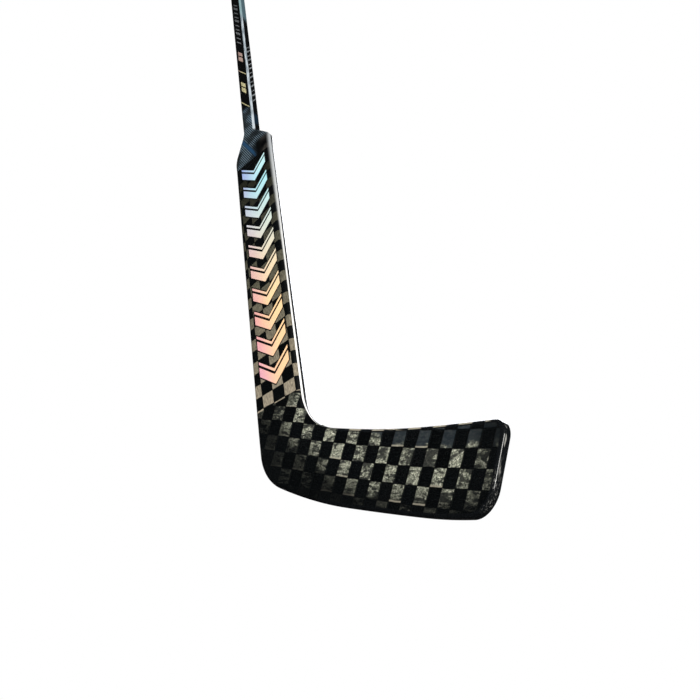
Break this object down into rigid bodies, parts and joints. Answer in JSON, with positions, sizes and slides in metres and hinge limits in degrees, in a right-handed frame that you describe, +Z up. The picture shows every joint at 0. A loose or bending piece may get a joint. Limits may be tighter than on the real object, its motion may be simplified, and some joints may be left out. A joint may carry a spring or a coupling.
{
  "type": "ice hockey goaltender stick",
  "caption": "Goaltender ice hockey stick: hollow bevelled shaft, flared neck, wide foam-filled paddle and a curved checker-weave blade.",
  "frame": {"origin": "a point on the flat part of the blade's sole, just past mid length, on the ice plane", "axes": "+X from heel to toe in the plane of the shaft and paddle, +Y towards the back of the stick, +Z up; the shaft leans 28.1 degrees from +Z towards -X"},
  "size_m": [1.0121, 0.0816, 1.3207],
  "materials": {
    "carbon_gloss": "woven carbon laminate under clear gloss lacquer",
    "woven_shell": "wide-tow checker weave, khaki and black, under clear lacquer",
    "edge_lacquer": "black lacquered rail",
    "rail_light": "clear-coated grey rail",
    "rigid_foam": "closed-cell structural foam",
    "carbon_raw": "uncoated carbon laminate",
    "cap_rubber": "moulded rubber",
    "foil_iridescent": "iridescent foil transfer",
    "ink_black": "black printed border",
    "ink_gold": "pale printed marks",
    "ink_silver": "silver printed strokes"
  },
  "bodies": {
    "root": {"shaft_tube": "carbon_gloss", "butt_end_plug": "cap_rubber", "shaft_spigot": "carbon_raw", "neck_block": "carbon_gloss", "paddle_front_shell": "woven_shell", "paddle_back_shell": "woven_shell", "paddle_toe_side_rail": "rail_light", "paddle_heel_side_rail": "edge_lacquer", "paddle_spar": "carbon_raw", "paddle_core_toe_side": "rigid_foam", "paddle_core_heel_side": "rigid_foam", "blade_front_skin": "woven_shell", "blade_back_skin": "woven_shell", "blade_sole_rail": "edge_lacquer", "blade_toe_rail": "edge_lacquer", "blade_top_rail": "edge_lacquer", "blade_spine": "carbon_raw", "blade_core_lower": "rigid_foam", "blade_core_upper": "rigid_foam", "paddle_chevrons": "foil_iridescent", "paddle_chevron_border": "ink_black", "shaft_front_marks": "ink_gold", "shaft_side_strokes": "ink_silver"}
  },
  "joints": []
}
